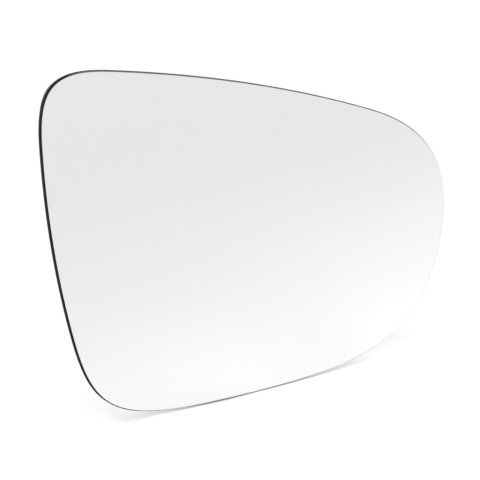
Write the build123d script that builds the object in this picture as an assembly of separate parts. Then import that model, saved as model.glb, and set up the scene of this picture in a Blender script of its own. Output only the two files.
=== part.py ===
"""Car door mirror glass: a domed silvered glass, bonded by a foam pad to a moulded backing plate.

The plate has a snap collar on its back, which clips on the mirror's adjuster. Millimetres, +Z up.
The mirror looks towards -Y, and the collar opens towards +Y. The origin is on the collar's axis, in the
middle of the hooks' grip.
"""

import os
from math import sqrt

from build123d import *

# Glass outline seen from the front: its four corners before rounding, measured from the collar's axis
OUTER_FOOT_SIDE = 63.1
OUTER_FOOT_DROP = 56.7
INNER_FOOT_SIDE = 83.5
INNER_FOOT_DROP = 53.8
INNER_HEAD_SIDE = 95.7
INNER_HEAD_RISE = 24.6
OUTER_HEAD_SIDE = 81.7
OUTER_HEAD_RISE = 69.8

# How far each side's arc stands out from its chord
FOOT_BOW = 4.7
INNER_BOW = 2.6
HEAD_BOW = 7.7
OUTER_BOW = 6.9

# Corner rounding: where it starts on each side, measured along the side from the corner before rounding
OUTER_FOOT_ROUND_UP = 33.0
OUTER_FOOT_ROUND_ALONG = 42.0
INNER_FOOT_ROUND_ALONG = 50.0
INNER_ROUNDS_MEET = 41.0  # both inner roundings meet this far up the inner side
INNER_HEAD_ROUND_ALONG = 45.0
OUTER_HEAD_ROUND_ALONG = 26.0
OUTER_HEAD_ROUND_DOWN = 25.0

# Corner rounding: share of the way to the corner that its curve is drawn towards
OUTER_FOOT_FULLNESS = 0.82
INNER_FULLNESS = 0.69
OUTER_HEAD_FULLNESS = 0.76

# Layers from the front, all with one centre of curvature
FRONT_RADIUS = 1260.0
GLASS_THICKNESS = 2.0
PAD_THICKNESS = 0.5
GLUE_LINE = 0.05  # coat of adhesive on each face of the pad, left as a gap
PLATE_THICKNESS = 1.6

# Edges of the layers
GLASS_ARRIS = 0.4
PAD_INSET = 5.0
PLATE_INSET = 1.5
PLATE_HEAD_TIGHTER = 2.7  # the plate's outer upper corner is rounded this much less than the glass
PLATE_EDGE_BEVEL = 0.3

# Snap collar on the back of the plate
GRIP_RADIUS = 27.6
GRIP_LENGTH = 1.2
HOOK_DEPTH = 1.6
HOOK_SLOPE = 0.6  # rise of the hook's holding face
LEAD_IN_HEIGHT = 2.4
COLLAR_WALL = 2.0
FLANGE_ROOM = 4.8  # from the plate to the hooks, for the adjuster's flange
FINGER_COUNT = 8
FINGER_ANGLE = 22.0
SLIT_WIDTH = 1.5
SLIT_FLOOR = 0.6  # wall left between the plate and the foot of each slit
WINDOW_CLEARANCE = 0.3  # the mould's core passes this far clear of each hook
KEY_WIDTH = 4.0  # notch that keeps the glass from turning on the adjuster
KEY_DEPTH = 2.8

# Ribs on the back of the plate, all ending in one plane
RIB_THICKNESS = 1.3
RIB_HEIGHT = 5.6
EDGE_RIB_INSET = 5.0

# Bodies used only for cutting stand out this far past what they cut
CUT_MARGIN = 25.0

# Sizes that follow from the ones above
COLLAR_INNER = GRIP_RADIUS + HOOK_DEPTH
COLLAR_OUTER = COLLAR_INNER + COLLAR_WALL
COLLAR_MIDDLE = COLLAR_INNER + COLLAR_WALL / 2
GRIP_START = -GRIP_LENGTH / 2
GRIP_END = GRIP_LENGTH / 2
HOOK_START = GRIP_START - HOOK_SLOPE
COLLAR_TOP = GRIP_END + LEAD_IN_HEIGHT
PLATE_BACK = HOOK_START - FLANGE_ROOM
PLATE_FRONT = PLATE_BACK - PLATE_THICKNESS
PAD_BACK = PLATE_FRONT - GLUE_LINE
PAD_FRONT = PAD_BACK - PAD_THICKNESS
GLASS_BACK = PAD_FRONT - GLUE_LINE
GLASS_FRONT = GLASS_BACK - GLASS_THICKNESS
DOME_CENTRE = GLASS_FRONT + FRONT_RADIUS
RIB_TOP = PLATE_BACK + RIB_HEIGHT
FINGER_PITCH = 360 / FINGER_COUNT


def inset_point(side, along, inset):
    """A point this far along a side, moved in from it, and the side's direction there."""
    way = side.tangent_at(along, PositionMode.LENGTH)
    inwards = way.rotate(Axis.Z, 90)
    return side.position_at(along, PositionMode.LENGTH) + inwards * inset, way


def side_run(side, start, end, inset):
    """The stretch of a side between two roundings, as an arc."""
    middle = (start + end) / 2
    return ThreePointArc(*[inset_point(side, along, inset)[0] for along in (start, middle, end)])


def corner_rounding(side_in, leave, side_out, join, fullness, inset):
    """The curve that rounds a corner, from a point along one side to a point along the next."""
    start, start_way = inset_point(side_in, leave, inset)
    end, end_way = inset_point(side_out, join, inset)
    turn = start_way.cross(end_way).Z
    start_reach = (end - start).cross(end_way).Z / turn * fullness
    end_reach = start_way.cross(end - start).Z / turn * fullness
    return Bezier(start, start + start_way * start_reach, end - end_way * end_reach, end)


def rounded_outline(inset=0.0, head_tighter=0.0):
    """The outline as a face, moved in by inset, its outer upper corner rounded less by head_tighter."""
    outer_foot = Vector(-OUTER_FOOT_SIDE, -OUTER_FOOT_DROP)
    inner_foot = Vector(INNER_FOOT_SIDE, -INNER_FOOT_DROP)
    inner_head = Vector(INNER_HEAD_SIDE, INNER_HEAD_RISE)
    outer_head = Vector(-OUTER_HEAD_SIDE, OUTER_HEAD_RISE)
    foot = SagittaArc(outer_foot, inner_foot, -FOOT_BOW)
    inner = SagittaArc(inner_foot, inner_head, -INNER_BOW)
    head = SagittaArc(inner_head, outer_head, -HEAD_BOW)
    outer = SagittaArc(outer_head, outer_foot, -OUTER_BOW)
    foot_start = OUTER_FOOT_ROUND_ALONG
    foot_end = foot.length - INNER_FOOT_ROUND_ALONG
    head_start = INNER_HEAD_ROUND_ALONG
    head_end = head.length - OUTER_HEAD_ROUND_ALONG + head_tighter
    outer_start = OUTER_HEAD_ROUND_DOWN - head_tighter
    outer_end = outer.length - OUTER_FOOT_ROUND_UP
    edges = [
        side_run(foot, foot_start, foot_end, inset),
        corner_rounding(foot, foot_end, inner, INNER_ROUNDS_MEET, INNER_FULLNESS, inset),
        corner_rounding(inner, INNER_ROUNDS_MEET, head, head_start, INNER_FULLNESS, inset),
        side_run(head, head_start, head_end, inset),
        corner_rounding(head, head_end, outer, outer_start, OUTER_HEAD_FULLNESS, inset),
        side_run(outer, outer_start, outer_end, inset),
        corner_rounding(outer, outer_end, foot, foot_start, OUTER_FOOT_FULLNESS, inset),
    ]
    return make_face(edges)


def ball(front):
    """All that lies behind a dome whose middle is at this depth."""
    return Pos(0, DOME_CENTRE, 0) * Sphere(DOME_CENTRE - front)


def dome_depth(middle, radius):
    """How deep a dome lies at this distance from the axis."""
    dome_radius = DOME_CENTRE - middle
    return DOME_CENTRE - sqrt(dome_radius**2 - radius**2)


def column(sketch, back):
    """A face seen from the front, drawn out from before the glass to this depth."""
    front = GLASS_FRONT - CUT_MARGIN
    return extrude(Plane.XZ.offset(-back) * sketch, amount=back - front)


def sheet(sketch, front, back):
    """A sheet of this outline between two domes."""
    return column(sketch, back + CUT_MARGIN) & (ball(front) - ball(back))


def rim_edges(solid):
    """The edges round both faces of a sheet, without those across its thickness."""
    return solid.edges().filter_by(Axis.Y, reverse=True)


def turned(points, start_angle, arc):
    """A section of (radius, depth) points swept about the collar's axis."""
    section = make_face(Polyline(*points, close=True))
    return Rot(0, start_angle, 0) * revolve(section, Axis.Y, revolution_arc=arc)


def make_glass():
    """The mirror glass, its sharp edges ground off."""
    pane = sheet(rounded_outline(), GLASS_FRONT, GLASS_BACK)
    return chamfer(rim_edges(pane), GLASS_ARRIS)


def make_pad():
    """The foam pad between the glass and the plate."""
    return sheet(rounded_outline(PAD_INSET), PAD_FRONT, PAD_BACK)


def make_collar():
    """The round collar, cut by slits into fingers, with a hook inside each finger."""
    wall_section = [
        (COLLAR_INNER, PLATE_BACK),
        (COLLAR_OUTER, PLATE_BACK),
        (COLLAR_OUTER, COLLAR_TOP),
        (COLLAR_INNER, COLLAR_TOP),
    ]
    hook_section = [
        (COLLAR_MIDDLE, HOOK_START),
        (COLLAR_INNER, HOOK_START),
        (GRIP_RADIUS, GRIP_START),
        (GRIP_RADIUS, GRIP_END),
        (COLLAR_INNER, COLLAR_TOP),
        (COLLAR_MIDDLE, COLLAR_TOP),
    ]
    slit_foot = dome_depth(PLATE_BACK, COLLAR_OUTER) + SLIT_FLOOR
    slit_height = COLLAR_TOP + CUT_MARGIN - slit_foot
    slit_middle = slit_foot + slit_height / 2
    slit = Pos(COLLAR_MIDDLE, slit_middle, 0) * Box(2 * COLLAR_WALL, slit_height, SLIT_WIDTH)
    wall = turned(wall_section, 0, 360)
    for finger in range(FINGER_COUNT):
        middle = (finger + 0.5) * FINGER_PITCH
        wall += turned(hook_section, middle - FINGER_ANGLE / 2, FINGER_ANGLE)
        for side in (-1, 1):
            beside = Pos(0, 0, -side * SLIT_WIDTH / 2)
            wall -= Rot(0, middle + side * FINGER_ANGLE / 2, 0) * beside * slit
    key = Pos(COLLAR_MIDDLE, COLLAR_TOP, 0) * Box(2 * COLLAR_WALL, 2 * KEY_DEPTH, KEY_WIDTH)
    return wall - key


def plate_outline(inset):
    """The plate's outline, moved in from the plate's edge by inset."""
    return rounded_outline(PLATE_INSET + inset, PLATE_HEAD_TIGHTER)


def make_ribs():
    """The rib round the plate's edge and the spokes that join it to the collar."""
    edge_outer = plate_outline(EDGE_RIB_INSET)
    edge_inner = plate_outline(EDGE_RIB_INSET + RIB_THICKNESS)
    spoke_length = INNER_HEAD_SIDE + OUTER_HEAD_RISE
    spoke = Pos(COLLAR_MIDDLE + spoke_length / 2, 0) * Rectangle(spoke_length, RIB_THICKNESS)
    spokes = Sketch() + [Rot(0, 0, finger * FINGER_PITCH) * spoke for finger in range(FINGER_COUNT)]
    plan = (edge_outer - edge_inner) + (spokes & edge_outer)
    return column(plan, RIB_TOP) & ball(PLATE_BACK - PLATE_THICKNESS / 2)


def make_plate():
    """The moulded backing plate: a domed sheet with ribs, a snap collar and windows under the hooks."""
    plate = sheet(plate_outline(0), PLATE_FRONT, PLATE_BACK)
    plate = chamfer(rim_edges(plate), PLATE_EDGE_BEVEL)
    plate += make_ribs()
    plate += make_collar()
    window_inner = GRIP_RADIUS - WINDOW_CLEARANCE
    window_section = [
        (window_inner, PLATE_FRONT - CUT_MARGIN),
        (COLLAR_INNER, PLATE_FRONT - CUT_MARGIN),
        (COLLAR_INNER, HOOK_START),
        (window_inner, HOOK_START),
    ]
    for finger in range(FINGER_COUNT):
        plate -= turned(window_section, (finger + 0.5) * FINGER_PITCH - FINGER_ANGLE / 2, FINGER_ANGLE)
    return plate


os.makedirs("parts", exist_ok=True)
export_step(make_glass(), "parts/mirror_glass.step")
export_step(make_pad(), "parts/adhesive_pad.step")
export_step(make_plate(), "parts/backing_plate.step")
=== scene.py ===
"""Looks of a car door mirror glass: a silvered pane on a black moulded plate, on a pale studio floor.

Metres, in the part's own frame: +Z up, the mirror looks towards -Y.
"""

import math

import bpy
import numpy
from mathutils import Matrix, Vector


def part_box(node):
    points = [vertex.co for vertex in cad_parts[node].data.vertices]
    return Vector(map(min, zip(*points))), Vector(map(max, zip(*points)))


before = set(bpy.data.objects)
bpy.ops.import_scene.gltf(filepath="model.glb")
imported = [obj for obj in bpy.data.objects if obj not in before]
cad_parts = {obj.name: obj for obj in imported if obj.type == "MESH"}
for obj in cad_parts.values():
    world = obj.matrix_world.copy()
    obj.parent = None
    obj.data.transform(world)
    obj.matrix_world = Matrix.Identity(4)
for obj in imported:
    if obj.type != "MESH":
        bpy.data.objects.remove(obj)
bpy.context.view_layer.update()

glass_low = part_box("mirror_glass")[0]

# Camera, at the photo's viewing angle
FRAME_PIXELS = 480
FOCAL_PIXELS = 1705.0
SENSOR_WIDTH_MM = 36.0
VIEW_AZIMUTH = math.radians(-34.0)
VIEW_ELEVATION = math.radians(16.5)
VIEW_DISTANCE = 0.6116
VIEW_TARGET = Vector((-0.00575, -0.01005, 0.00061))
NEAR_LIMIT = 0.006

# Glass: how far a face looks forwards or back tells the mirror, its arris and the painted back apart
DOME_RADIUS = 1.26
GLASS_THICKNESS = 0.002
FLAT_LIMIT = 0.9
ARRIS_LIMIT = 0.35

# Ground edge: paler towards its back, by the share of the glass's thickness
PALE_START = 0.5
PALE_FULL = 0.68

# Arris: grey at head and foot, with painted shade at the outer end and painted light at the inner end and
# on both sides of the foot, by how far a face looks to the side
ARRIS_OUTER_DARK = -0.24
ARRIS_OUTER_END = -0.08
ARRIS_INNER_START = 0.48
ARRIS_INNER_PALE = 0.62
ARRIS_FOOT_START = 0.02
ARRIS_FOOT_PALE = 0.055

# Rim of the face at the inner end: a painted grey band on the silver that stands in for the ground edge
# seen through the glass
RIM_MIDDLE_X = 0.038
RIM_MIDDLE_Z = -0.002
RIM_REACH = 0.16
RIM_STEPS = 120
RIM_WIDTH = 0.0008
RIM_TOWARDS = math.radians(-45.0)
RIM_FAINT = 0.5
RIM_CLEAR = 0.85

# Greys of the finishes, from their darkest to their lightest spots
SILVER_GREYS = (0.828, 0.832)
# Grey of the painted rim that stands in for the ground edge seen through the glass
PAINTED_RIM_GREY = 0.74
DARK_EDGE_GREYS = (0.008, 0.016)
PALE_EDGE_GREYS = (0.052, 0.072)
ARRIS_GREYS = (0.07, 0.1)
# Arris greys where painted light falls on it
PAINTED_LIT_ARRIS_GREYS = (0.33, 0.43)
PAINT_GREYS = (0.03, 0.05)
PLATE_GREYS = (0.012, 0.022)
PAD_GREYS = (0.2, 0.36)

# Roughness of the finishes, from their smoothest to their roughest spots
SILVER_ROUGHNESS = (0.004, 0.012)
GROUND_ROUGHNESS = (0.35, 0.6)
PLATE_ROUGHNESS = (0.42, 0.56)
PAD_ROUGHNESS = (0.8, 0.95)

# Gloss of the plastic and the foam
PLATE_GLOSS = 0.2
PAD_GLOSS = 0.2

# Patterns of the finishes: spots to a metre, and how finely they are broken up
HAZE = (9.0, 2.0)
GRIND = (260.0, 4.0)
GRIND_STRETCH = (1.0, 30.0, 1.0)
PAINT_SPOTS = (700.0, 3.0)
PLATE_GRAIN = (2600.0, 3.0)
PLATE_CLOUD = (22.0, 3.0)
PAD_CELLS = (1800.0, 4.0)
PLATE_GRAIN_DEPTH = 0.00003
PAD_CELL_DEPTH = 0.00008

# Floor: painted light makes it whiter at the mirror's foot and under it, with a painted contact shadow
# where the glass touches it
FLOOR_SIZE = 14.0
FADE_POWER = 1.63
FOOT_LINE = -0.0095
FRONT_PALE = 0.414
FRONT_FADE_PAINTED_LIGHT = 0.114
FRONT_FADE_DEPTH = 0.173
SPOT_PAINTED_LIGHT = 0.222
SPOT_DEPTH = 0.069
SPOT_MIDDLE = 0.012
SPOT_WIDTH = 0.084
BACK_PALE = 0.435
BACK_FADE_PAINTED_LIGHT = 0.095
BACK_FADE_DEPTH = 0.1
UNDER_PAINTED_LIGHT = 0.26
UNDER_DEPTH = 0.03
UNDER_LEFT_END = -0.05
UNDER_LEFT_FULL = -0.034
UNDER_RIGHT_FULL = 0.036
UNDER_RIGHT_END = 0.085
TOUCH_PAINTED_SHADE = 0.36
TOUCH_LINE = -0.0088
TOUCH_DEPTH = 0.0011
TOUCH_MIDDLE = -0.010
TOUCH_WIDTH = 0.014

# Light of the studio: even from above, weaker towards the horizon, where it is as bright as the far floor,
# with a broad soft light on the left and another behind
EVEN_LIGHT = 1.513
HORIZON_LIGHT = 0.965
HORIZON_TOP = math.radians(20.0)
SIDE_LIGHT = 4.04
SIDE_AZIMUTH = math.radians(-75.0)
SIDE_ELEVATION = math.radians(30.0)
SIDE_FOCUS = 8.0
BACK_LIGHT = 2.5
BACK_AZIMUTH = math.radians(180.0)
BACK_ELEVATION = math.radians(10.0)
BACK_FOCUS = 2.0


def direction(azimuth, elevation):
    """The way to a place seen from the mirror, its azimuth taken from straight ahead."""
    level = math.cos(elevation)
    return Vector((math.sin(azimuth) * level, -math.cos(azimuth) * level, math.sin(elevation)))


def put(tree, socket, value):
    """Sets an input to a value, or links it to another node's output."""
    if isinstance(value, bpy.types.NodeSocket):
        tree.links.new(value, socket)
    else:
        socket.default_value = value


def calc(tree, operation, *values):
    """The result of a Math node."""
    node = tree.nodes.new("ShaderNodeMath")
    node.operation = operation
    for socket, value in zip(node.inputs, values):
        put(tree, socket, value)
    return node.outputs["Value"]


def vector_calc(tree, operation, output, *values):
    """The result of a Vector Math node, a vector or a number as output says."""
    node = tree.nodes.new("ShaderNodeVectorMath")
    node.operation = operation
    for socket, value in zip(node.inputs, values):
        put(tree, socket, value)
    return node.outputs[output]


def split(tree, vector):
    """The three parts of a vector."""
    node = tree.nodes.new("ShaderNodeSeparateXYZ")
    put(tree, node.inputs["Vector"], vector)
    return node.outputs["X"], node.outputs["Y"], node.outputs["Z"]


def ramp(tree, value, start, end):
    """A share that grows from nought to one between two values."""
    node = tree.nodes.new("ShaderNodeMapRange")
    put(tree, node.inputs["Value"], value)
    put(tree, node.inputs["From Min"], start)
    put(tree, node.inputs["From Max"], end)
    return node.outputs["Result"]


def mix_number(tree, share, low, high):
    """A number that goes from low to high with share."""
    node = tree.nodes.new("ShaderNodeMapRange")
    put(tree, node.inputs["Value"], share)
    put(tree, node.inputs["To Min"], low)
    put(tree, node.inputs["To Max"], high)
    return node.outputs["Result"]


def mix(tree, kind, share, low, high):
    """A colour or a vector that goes from low to high with share."""
    node = tree.nodes.new("ShaderNodeMix")
    node.data_type = kind
    put(tree, node.inputs["Factor"], share)
    put(tree, node.inputs["A"], low)
    put(tree, node.inputs["B"], high)
    return node.outputs["Result"]


def mix_colour(tree, share, low, high):
    """A colour that goes from low to high with share."""
    return mix(tree, "RGBA", share, low, high)


def grey(level):
    """A neutral colour."""
    return (level, level, level, 1.0)


def shade(tree, share, levels):
    """A neutral colour that goes from the first of two levels to the second with share."""
    low, high = levels
    return mix_colour(tree, share, grey(low), grey(high))


def noise(tree, pattern, stretch=(1.0, 1.0, 1.0)):
    """A noise pattern fixed to the piece."""
    spots, detail = pattern
    place = tree.nodes.new("ShaderNodeTexCoord")
    mapping = tree.nodes.new("ShaderNodeMapping")
    put(tree, mapping.inputs["Scale"], stretch)
    put(tree, mapping.inputs["Vector"], place.outputs["Object"])
    node = tree.nodes.new("ShaderNodeTexNoise")
    put(tree, node.inputs["Scale"], spots)
    put(tree, node.inputs["Detail"], detail)
    put(tree, node.inputs["Vector"], mapping.outputs["Vector"])
    return node.outputs["Fac"]


def new_material(name):
    """A node material and its shader."""
    material = bpy.data.materials.new(name)
    material.use_nodes = True
    return material, material.node_tree, material.node_tree.nodes["Principled BSDF"]


def bump(tree, shader, height, depth):
    """Gives a surface a fine relief of this depth in metres."""
    node = tree.nodes.new("ShaderNodeBump")
    put(tree, node.inputs["Strength"], 1.0)
    put(tree, node.inputs["Distance"], depth)
    put(tree, node.inputs["Height"], height)
    put(tree, shader.inputs["Normal"], node.outputs["Normal"])


def face_outline():
    """The outline of the mirror's face, as its angle and distance from the rim's middle."""
    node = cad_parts["mirror_glass"]
    turn = node.matrix_world.to_3x3()
    uses = {}
    for polygon in node.data.polygons:
        if (turn @ polygon.normal).y < -FLAT_LIMIT:
            for edge in polygon.edge_keys:
                uses[edge] = uses.get(edge, 0) + 1
    ends = {vertex for edge, times in uses.items() if times == 1 for vertex in edge}
    places = [node.matrix_world @ node.data.vertices[vertex].co for vertex in ends]
    offsets = [(place.x - RIM_MIDDLE_X, place.z - RIM_MIDDLE_Z) for place in places]
    return sorted((math.atan2(up, across), math.hypot(across, up)) for across, up in offsets)


def outline_reach(tree, angle):
    """How far the face reaches from the rim's middle at an angle, as a curve through its outline."""
    angles, distances = zip(*face_outline())
    node = tree.nodes.new("ShaderNodeFloatCurve")
    points = node.mapping.curves[0].points
    for step in range(RIM_STEPS + 1):
        share = step / RIM_STEPS
        turn = (share - 0.5) * 2 * math.pi
        reach = float(numpy.interp(turn, angles, distances, period=2 * math.pi)) / RIM_REACH
        if step == 0:
            points[0].location = (share, reach)
        elif step == RIM_STEPS:
            points[len(points) - 1].location = (share, reach)
        else:
            points.new(share, reach)
    for point in points:
        point.handle_type = "VECTOR"
    node.mapping.update()
    put(tree, node.inputs["Value"], calc(tree, "MULTIPLY_ADD", angle, 0.5 / math.pi, 0.5))
    return calc(tree, "MULTIPLY", node.outputs["Value"], RIM_REACH)


def painted_face_rim(tree, place):
    """The share of the painted grey rim at each place of the face."""
    x, _, z = split(tree, place)
    across = calc(tree, "SUBTRACT", x, RIM_MIDDLE_X)
    up = calc(tree, "SUBTRACT", z, RIM_MIDDLE_Z)
    squares = calc(tree, "MULTIPLY_ADD", up, up, calc(tree, "MULTIPLY", across, across))
    distance = calc(tree, "SQRT", squares)
    reach = outline_reach(tree, calc(tree, "ARCTAN2", up, across))
    in_rim = ramp(tree, calc(tree, "SUBTRACT", reach, distance), RIM_WIDTH, RIM_WIDTH / 2)
    sideways = calc(tree, "MULTIPLY", across, math.cos(RIM_TOWARDS))
    towards = calc(tree, "MULTIPLY_ADD", up, math.sin(RIM_TOWARDS), sideways)
    clear = ramp(tree, calc(tree, "DIVIDE", towards, distance), RIM_FAINT, RIM_CLEAR)
    return calc(tree, "MULTIPLY", in_rim, clear)


def arris_colour(tree, sideways, upwards, grind, dark_edge):
    """The frosted arris, with painted shade at the outer end and painted light at the inner end and beside
    the foot, by how far its faces look to the side and up.
    """
    # Painted light: the arris is paler at the inner end and on both sides of the foot
    on_inner_end = ramp(tree, sideways, ARRIS_INNER_START, ARRIS_INNER_PALE)
    off_foot = ramp(tree, calc(tree, "ABSOLUTE", sideways), ARRIS_FOOT_START, ARRIS_FOOT_PALE)
    beside_foot = calc(tree, "MULTIPLY", off_foot, calc(tree, "LESS_THAN", upwards, 0.0))
    painted_light_share = calc(tree, "MAXIMUM", on_inner_end, beside_foot)
    plain = shade(tree, grind, ARRIS_GREYS)
    pale = shade(tree, grind, PAINTED_LIT_ARRIS_GREYS)
    # Painted shade: the arris goes as dark as the ground edge at the outer end
    off_outer_end = ramp(tree, sideways, ARRIS_OUTER_DARK, ARRIS_OUTER_END)
    return mix_colour(tree, off_outer_end, dark_edge, mix_colour(tree, painted_light_share, plain, pale))


def glass_material():
    """Silvered face, dark ground edge, frosted arris and painted back, by the way each face looks."""
    material, tree, shader = new_material("mirror_glass_finish")
    geometry = tree.nodes.new("ShaderNodeNewGeometry")
    place = geometry.outputs["Position"]
    sideways, facing, upwards = split(tree, geometry.outputs["True Normal"])
    on_front = calc(tree, "LESS_THAN", facing, -FLAT_LIMIT)
    on_back = calc(tree, "GREATER_THAN", facing, FLAT_LIMIT)
    on_arris = calc(tree, "LESS_THAN", facing, -ARRIS_LIMIT)

    from_centre = vector_calc(tree, "SUBTRACT", "Vector", place, (0.0, glass_low.y + DOME_RADIUS, 0.0))
    depth = calc(tree, "SUBTRACT", DOME_RADIUS, vector_calc(tree, "LENGTH", "Value", from_centre))
    rear = ramp(tree, depth, PALE_START * GLASS_THICKNESS, PALE_FULL * GLASS_THICKNESS)

    haze = noise(tree, HAZE)
    grind = noise(tree, GRIND, GRIND_STRETCH)
    silver = shade(tree, haze, SILVER_GREYS)
    # Painted grey rim on the silver, standing in for the ground edge seen through the glass
    silver = mix_colour(tree, painted_face_rim(tree, place), silver, grey(PAINTED_RIM_GREY))
    dark_edge = shade(tree, grind, DARK_EDGE_GREYS)
    edge = mix_colour(tree, rear, dark_edge, shade(tree, grind, PALE_EDGE_GREYS))
    arris = arris_colour(tree, sideways, upwards, grind, dark_edge)
    paint = shade(tree, noise(tree, PAINT_SPOTS), PAINT_GREYS)
    colour = mix_colour(tree, on_arris, edge, arris)
    colour = mix_colour(tree, on_back, colour, paint)
    colour = mix_colour(tree, on_front, colour, silver)
    put(tree, shader.inputs["Base Color"], colour)
    put(tree, shader.inputs["Metallic"], on_front)

    ground = mix_number(tree, grind, *GROUND_ROUGHNESS)
    polished = mix_number(tree, haze, *SILVER_ROUGHNESS)
    put(tree, shader.inputs["Roughness"], mix_number(tree, on_front, ground, polished))
    put(tree, shader.inputs["Specular IOR Level"], 0.0)

    outwards = vector_calc(tree, "NORMALIZE", "Vector", from_centre)
    put(tree, shader.inputs["Normal"], mix(tree, "VECTOR", on_front, geometry.outputs["Normal"], outwards))
    return material


def plate_material():
    """Black plastic with the fine matte grain of its mould."""
    material, tree, shader = new_material("backing_plate_plastic")
    cloud = noise(tree, PLATE_CLOUD)
    put(tree, shader.inputs["Base Color"], shade(tree, cloud, PLATE_GREYS))
    put(tree, shader.inputs["Roughness"], mix_number(tree, cloud, *PLATE_ROUGHNESS))
    put(tree, shader.inputs["Specular IOR Level"], PLATE_GLOSS)
    bump(tree, shader, noise(tree, PLATE_GRAIN), PLATE_GRAIN_DEPTH)
    return material


def pad_material():
    """Grey closed-cell foam."""
    material, tree, shader = new_material("adhesive_pad_foam")
    cells = noise(tree, PAD_CELLS)
    put(tree, shader.inputs["Base Color"], shade(tree, cells, PAD_GREYS))
    put(tree, shader.inputs["Roughness"], mix_number(tree, cells, *PAD_ROUGHNESS))
    put(tree, shader.inputs["Specular IOR Level"], PAD_GLOSS)
    bump(tree, shader, cells, PAD_CELL_DEPTH)
    return material


def finish_node(name, material):
    """Gives a CAD node its material."""
    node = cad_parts[name]
    node.data.materials.clear()
    node.data.materials.append(material)


def falloff(tree, distance, reach):
    """How far a fade has gone at a distance, one at its reach."""
    return calc(tree, "POWER", calc(tree, "DIVIDE", distance, reach), FADE_POWER)


def aside(tree, place, middle, width):
    """How far a soft spot has gone at a place to either side of its middle."""
    off = calc(tree, "DIVIDE", calc(tree, "SUBTRACT", place, middle), width)
    return calc(tree, "MULTIPLY", off, off)


def dying(tree, gone, full):
    """A value that dies away from full as its fade goes on."""
    return calc(tree, "MULTIPLY", calc(tree, "EXPONENT", calc(tree, "MULTIPLY", gone, -1.0)), full)


def front_tone(tree, x, y):
    """The floor's tone in front of the mirror's foot, with painted light that fades away from the foot and
    a painted spot of light near it.
    """
    away = calc(tree, "MAXIMUM", calc(tree, "MULTIPLY", y, -1.0), 0.0)
    fade = dying(tree, falloff(tree, away, FRONT_FADE_DEPTH), FRONT_FADE_PAINTED_LIGHT)
    off_spot = calc(tree, "ADD", falloff(tree, away, SPOT_DEPTH), aside(tree, x, SPOT_MIDDLE, SPOT_WIDTH))
    return calc(tree, "ADD", calc(tree, "ADD", fade, dying(tree, off_spot, SPOT_PAINTED_LIGHT)), FRONT_PALE)


def back_tone(tree, x, past_foot):
    """The floor's tone behind the mirror's foot, with painted light that is strongest under the mirror."""
    away = calc(tree, "MAXIMUM", past_foot, 0.0)
    fade = dying(tree, falloff(tree, away, BACK_FADE_DEPTH), BACK_FADE_PAINTED_LIGHT)
    from_left = ramp(tree, x, UNDER_LEFT_END, UNDER_LEFT_FULL)
    from_right = ramp(tree, x, UNDER_RIGHT_END, UNDER_RIGHT_FULL)
    under = dying(tree, falloff(tree, away, UNDER_DEPTH), UNDER_PAINTED_LIGHT)
    under = calc(tree, "MULTIPLY", under, calc(tree, "MULTIPLY", from_left, from_right))
    return calc(tree, "ADD", calc(tree, "ADD", fade, under), BACK_PALE)


def left_by_painted_touch_shade(tree, x, y):
    """The share of the floor's tone that is left under the painted contact shadow where the glass touches
    the floor.
    """
    along = aside(tree, x, TOUCH_MIDDLE, TOUCH_WIDTH)
    off_line = aside(tree, y, TOUCH_LINE, TOUCH_DEPTH)
    return calc(tree, "SUBTRACT", 1.0, dying(tree, calc(tree, "ADD", along, off_line), TOUCH_PAINTED_SHADE))


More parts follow.
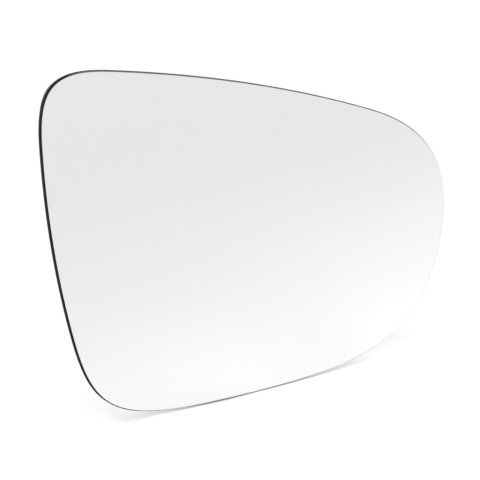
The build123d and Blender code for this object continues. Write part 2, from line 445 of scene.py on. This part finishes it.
def make_floor():
    """A pale floor that the mirror stands on, with painted light and a painted contact shadow in its tone.
    """
    bpy.ops.mesh.primitive_plane_add(size=FLOOR_SIZE, location=(0.0, 0.0, glass_low.z))
    floor = bpy.context.object
    floor.name = "studio_floor"
    material, tree, shader = new_material("studio_floor_paper")
    place = tree.nodes.new("ShaderNodeTexCoord")
    x, y, _ = split(tree, place.outputs["Object"])
    past_foot = calc(tree, "SUBTRACT", y, FOOT_LINE)
    is_behind = calc(tree, "GREATER_THAN", past_foot, 0.0)
    # Painted light in front of, behind and under the mirror's foot
    tone = mix_number(tree, is_behind, front_tone(tree, x, y), back_tone(tree, x, past_foot))
    # Painted contact shadow where the glass touches the floor
    tone = calc(tree, "MULTIPLY", tone, left_by_painted_touch_shade(tree, x, y))
    put(tree, shader.inputs["Base Color"], shade(tree, tone, (0.0, 1.0)))
    put(tree, shader.inputs["Roughness"], 1.0)
    put(tree, shader.inputs["Specular IOR Level"], 0.0)
    floor.data.materials.append(material)


def glow(tree, way, azimuth, elevation, focus):
    """A broad light's share of its full strength in each direction."""
    towards = vector_calc(tree, "DOT_PRODUCT", "Value", way, direction(azimuth, elevation))
    return calc(tree, "POWER", calc(tree, "MAXIMUM", towards, 0.0), focus)


def make_light():
    """Soft light from all round, brighter on the left and behind."""
    world = bpy.data.worlds.new("studio_light")
    world.use_nodes = True
    tree = world.node_tree
    background = tree.nodes["Background"]
    put(tree, background.inputs["Color"], grey(1.0))
    way = tree.nodes.new("ShaderNodeTexCoord").outputs["Generated"]
    side = glow(tree, way, SIDE_AZIMUTH, SIDE_ELEVATION, SIDE_FOCUS)
    back = glow(tree, way, BACK_AZIMUTH, BACK_ELEVATION, BACK_FOCUS)
    above = ramp(tree, split(tree, way)[2], 0.0, math.sin(HORIZON_TOP))
    strength = mix_number(tree, above, HORIZON_LIGHT, EVEN_LIGHT)
    strength = calc(tree, "MULTIPLY_ADD", side, SIDE_LIGHT, strength)
    strength = calc(tree, "MULTIPLY_ADD", back, BACK_LIGHT, strength)
    put(tree, background.inputs["Strength"], strength)
    bpy.context.scene.world = world


def make_camera():
    """The camera, as far from the mirror and as long as the photo's."""
    back = direction(VIEW_AZIMUTH, VIEW_ELEVATION)
    data = bpy.data.cameras.new("photo_camera")
    data.sensor_width = SENSOR_WIDTH_MM
    data.lens = SENSOR_WIDTH_MM * FOCAL_PIXELS / FRAME_PIXELS
    data.clip_start = NEAR_LIMIT
    camera = bpy.data.objects.new("photo_camera", data)
    camera.location = VIEW_TARGET + back * VIEW_DISTANCE
    camera.rotation_mode = "QUATERNION"
    camera.rotation_quaternion = (-back).to_track_quat("-Z", "Y")
    bpy.context.scene.collection.objects.link(camera)
    bpy.context.scene.camera = camera


finish_node("mirror_glass", glass_material())
finish_node("adhesive_pad", pad_material())
finish_node("backing_plate", plate_material())
make_floor()
make_light()
make_camera()
bpy.context.scene.view_settings.view_transform = "Standard"
